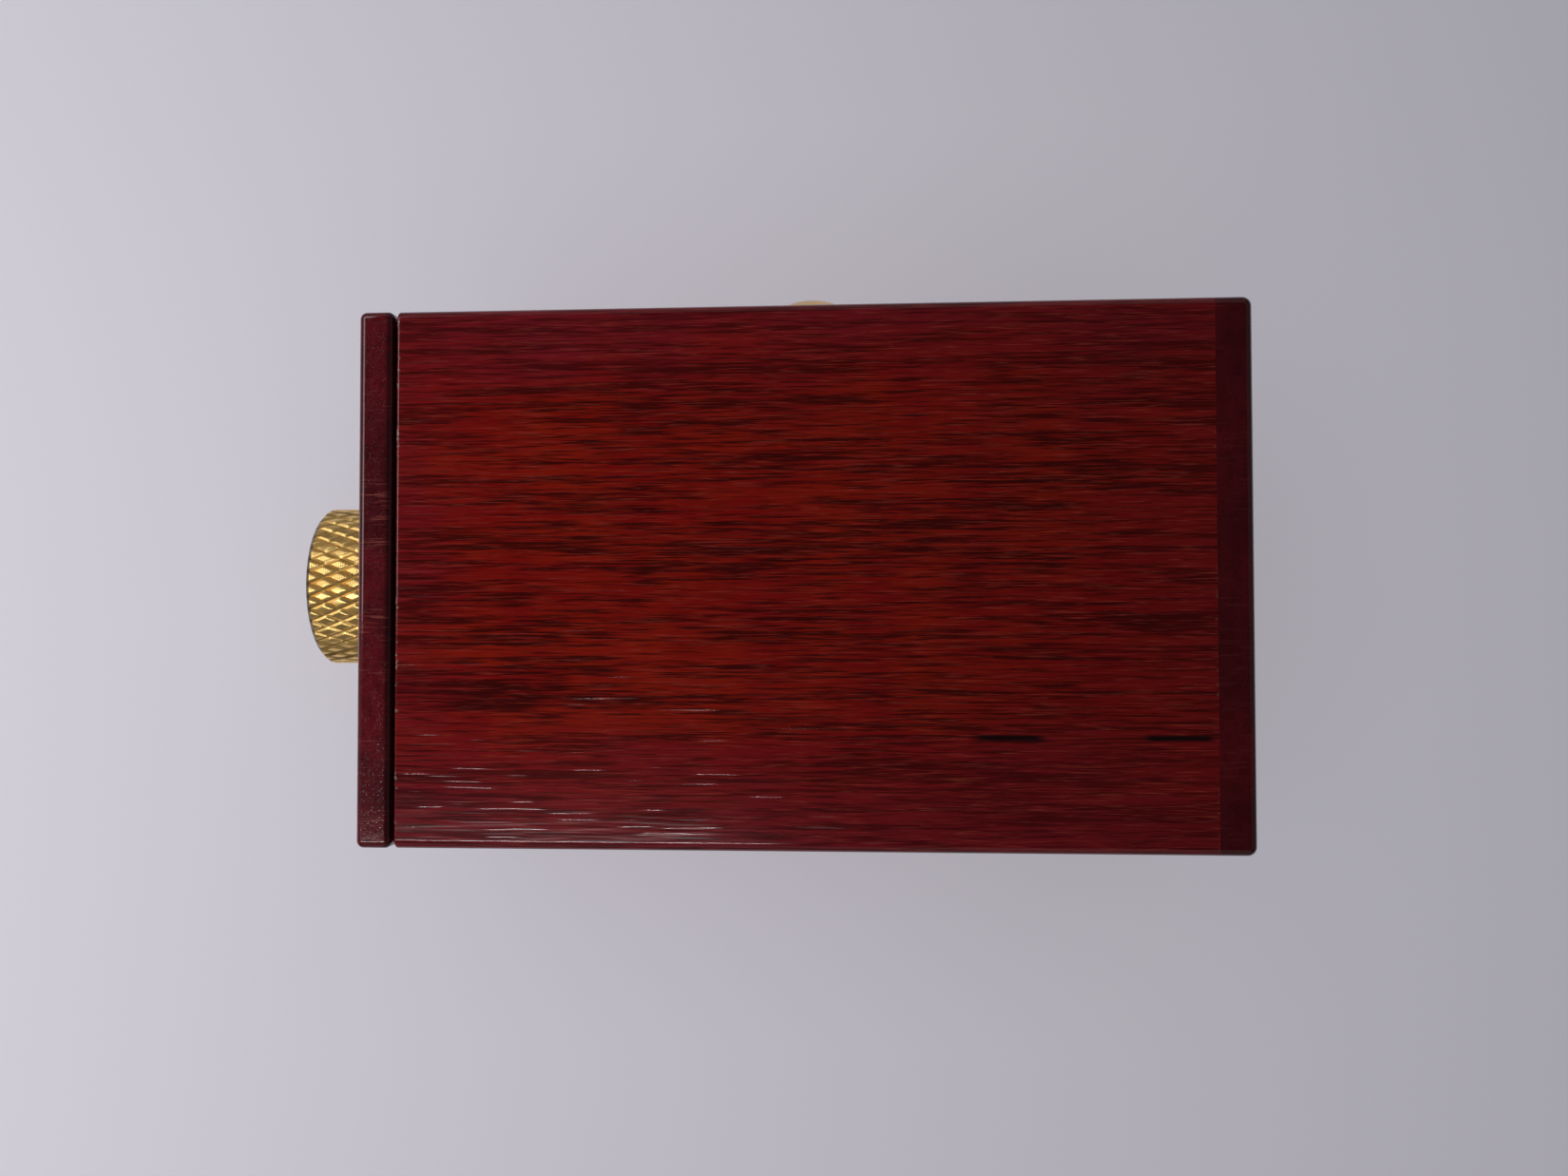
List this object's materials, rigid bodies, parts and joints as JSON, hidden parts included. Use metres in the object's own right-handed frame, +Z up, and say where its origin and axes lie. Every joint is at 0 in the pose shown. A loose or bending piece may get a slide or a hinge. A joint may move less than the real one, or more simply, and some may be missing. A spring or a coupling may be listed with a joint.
{
  "type": "wooden puzzle box",
  "caption": "Small oblong wooden box with one drawer; a knurled brass knob on its end throws two hidden bolts and a domed brass pin in its side locks the drawer.",
  "frame": {"origin": "centre of the underside of the closed wooden box, without the knob and the side pin", "axes": "+X from the knob's end to the rear panel, along the grain; +Y towards the side with the brass pin; +Z up, out of the top panel"},
  "size_m": [0.1104, 0.0655, 0.05],
  "materials": {
    "red_wood": "gloss lacquer over open grain",
    "dark_end_grain": "gloss lacquer over end grain",
    "pale_wood": "sanded, oiled",
    "brass": "satin turned",
    "steel": "machined"
  },
  "bodies": {
    "carcass": {"top_panel": "red_wood", "bottom_panel": "red_wood", "left_panel": "red_wood", "right_panel": "red_wood", "rear_panel": "dark_end_grain", "left_keeper": "brass", "right_keeper": "brass", "keeper_pins": "brass", "stop_screw": "brass", "side_pin_bush": "brass"},
    "drawer": {"drawer_front": "dark_end_grain", "drawer_left_side": "pale_wood", "drawer_right_side": "pale_wood", "drawer_bottom": "pale_wood", "drawer_back": "pale_wood", "lock_board": "pale_wood", "left_bolt_guide": "brass", "right_bolt_guide": "brass", "guide_screws": "steel", "knob_bush": "brass", "knob_bush_nut": "brass"},
    "knob_shaft": {"knob": "brass", "knob_grub_screw": "steel", "spindle": "steel", "cam_disc": "brass", "cam_washer": "steel", "cam_nut": "steel"},
    "left_bolt_slide": {"left_bolt": "brass", "left_bolt_pin": "steel"},
    "right_bolt_slide": {"right_bolt": "brass", "right_bolt_pin": "steel"},
    "side_pin": {"side_pin_shaft": "brass", "side_pin_head": "brass"}
  },
  "joints": [
    {"name": "drawer_slide", "type": "slide", "parent": "carcass", "child": "drawer", "axis": [-1, 0, 0], "range_m": [0, 0.072]},
    {"name": "knob_turn", "type": "hinge", "parent": "drawer", "child": "knob_shaft", "pos_m": [-0.0492, 0, 0.025], "axis": [1, 0, 0], "range_deg": [0, 90]},
    {"name": "left_bolt_throw", "type": "slide", "parent": "drawer", "child": "left_bolt_slide", "axis": [0, 1, 0], "range_m": [0, 0.003]},
    {"name": "right_bolt_throw", "type": "slide", "parent": "drawer", "child": "right_bolt_slide", "axis": [0, -1, 0], "range_m": [0, 0.003]},
    {"name": "side_pin_push", "type": "slide", "parent": "carcass", "child": "side_pin", "axis": [0, -1, 0], "range_m": [0, 0.0025]}
  ],
  "couplings": [
    {"joint": "left_bolt_throw", "follows": "knob_turn", "m_per_rad": 0.0019098},
    {"joint": "right_bolt_throw", "follows": "knob_turn", "m_per_rad": 0.0019098}
  ]
}
